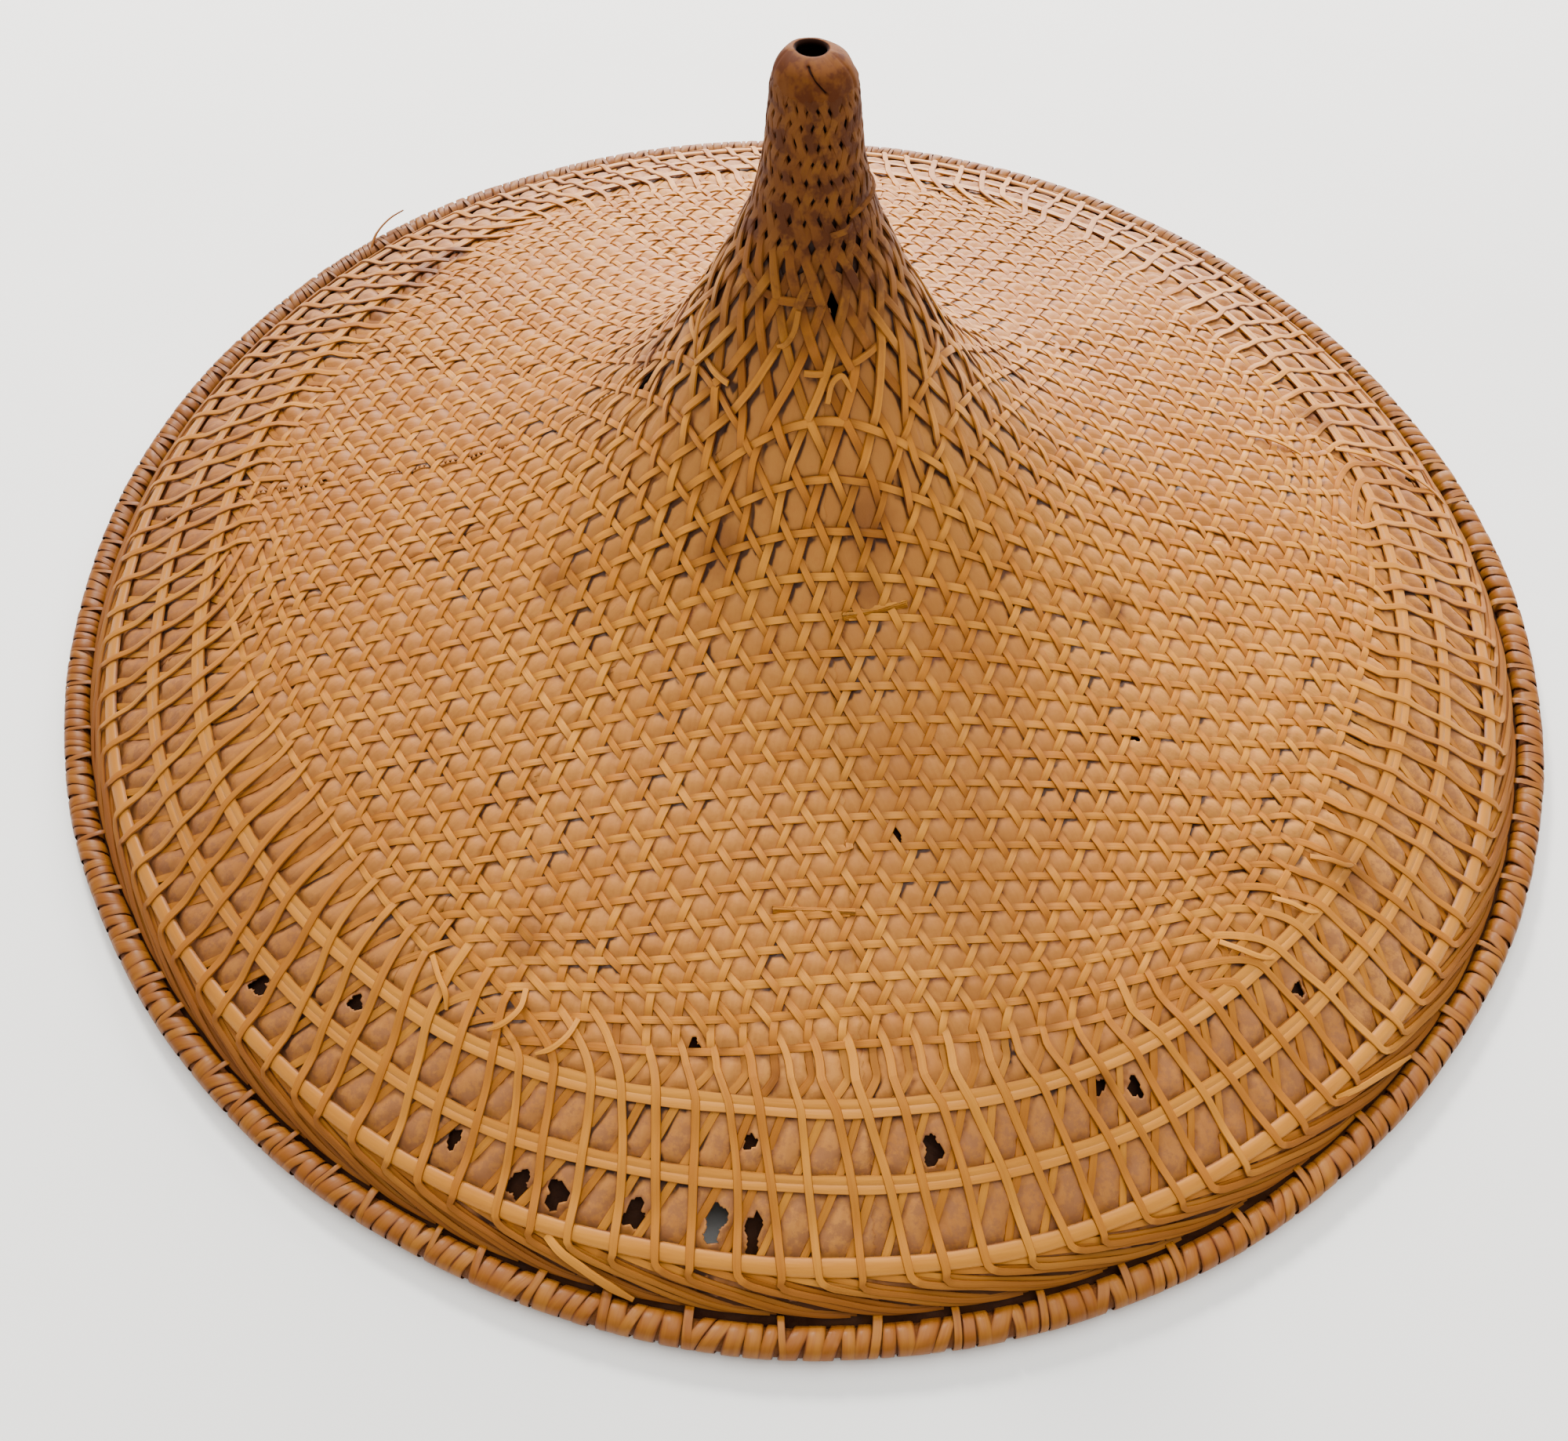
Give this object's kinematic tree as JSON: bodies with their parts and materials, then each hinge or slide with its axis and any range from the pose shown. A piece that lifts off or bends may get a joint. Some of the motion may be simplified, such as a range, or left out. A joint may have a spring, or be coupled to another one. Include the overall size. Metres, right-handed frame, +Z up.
{
  "type": "woven rattan hat with a tall spire",
  "caption": "Shallow conical sun hat woven of split rattan over a leaf lining, with a tall narrow hollow spire, hoops round its shoulder and a bound rim.",
  "frame": {"origin": "on the surface that the hat rests on, in the middle of its rim", "axes": "+Z up through the spire; -Y is the front, towards the viewer; +X is the viewer's right"},
  "size_m": [0.43, 0.43, 0.1815],
  "materials": {
    "weave": "thin split rattan, varnished and worn to a soft gloss",
    "leaf": "dried broad leaf, matt, blotched",
    "hoop": "split cane, glossy skin outwards",
    "plait": "split rattan, glossy, darker in its gaps",
    "binding": "narrow cane splint, glossy and golden",
    "cap": "folded splints, smooth and varnished"
  },
  "bodies": {
    "root": {"spire_weave": "weave", "flare_weave": "weave", "field_weave": "weave", "shoulder_weave": "weave", "leaf_lining": "leaf", "upper_hoop": "hoop", "middle_hoop": "hoop", "lower_hoop": "hoop", "edge_plait": "plait", "rim_binding": "binding", "spire_cap": "cap"}
  },
  "joints": []
}
